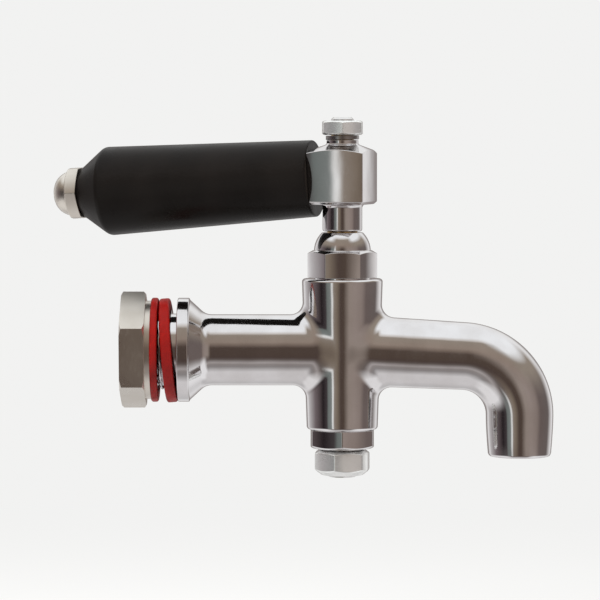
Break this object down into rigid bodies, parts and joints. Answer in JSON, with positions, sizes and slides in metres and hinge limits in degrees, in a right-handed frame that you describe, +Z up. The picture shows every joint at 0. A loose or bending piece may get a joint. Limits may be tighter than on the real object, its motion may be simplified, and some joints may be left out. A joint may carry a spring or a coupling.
{
  "type": "samovar tap",
  "caption": "Tank tap with a tapered turning plug, side lever handle with dark moulded grip, flanged threaded tail with gaskets and back nut, and a down-turned spout.",
  "frame": {"origin": "on the axis of the inlet waterway, in the plane of the flange's sealing face", "axes": "+X from the tank towards the spout, +Z up along the plug axis, +Y to the far side in the picture's view"},
  "size_m": [0.1354, 0.0438, 0.0952],
  "materials": {
    "body_chrome": "polished",
    "nickel_plate": "satin",
    "bare_brass": "machined",
    "spring_steel": "satin",
    "bakelite": "satin",
    "red_silicone": "matte",
    "white_packing": "matte"
  },
  "bodies": {
    "tap_body": {"body_casting": "body_chrome", "gland_nut": "body_chrome", "bottom_bush": "body_chrome", "back_nut": "nickel_plate", "gland_follower": "bare_brass", "thrust_washer": "bare_brass", "outer_gasket": "red_silicone", "inner_gasket": "red_silicone", "packing_ring_1": "white_packing", "packing_ring_2": "white_packing", "packing_ring_3": "white_packing"},
    "cock": {"plug": "bare_brass", "tail_spring": "spring_steel", "key_washer": "spring_steel", "tail_nut": "body_chrome", "handle_hub": "body_chrome", "lock_washer": "spring_steel", "hub_nut": "body_chrome", "handle_stud": "spring_steel", "grip": "bakelite", "cap_nut": "nickel_plate"}
  },
  "joints": [
    {"name": "tap_turn", "type": "hinge", "parent": "tap_body", "child": "cock", "pos_m": [0.0435, 0, 0], "axis": [0, 0, 1], "continuous": true}
  ]
}
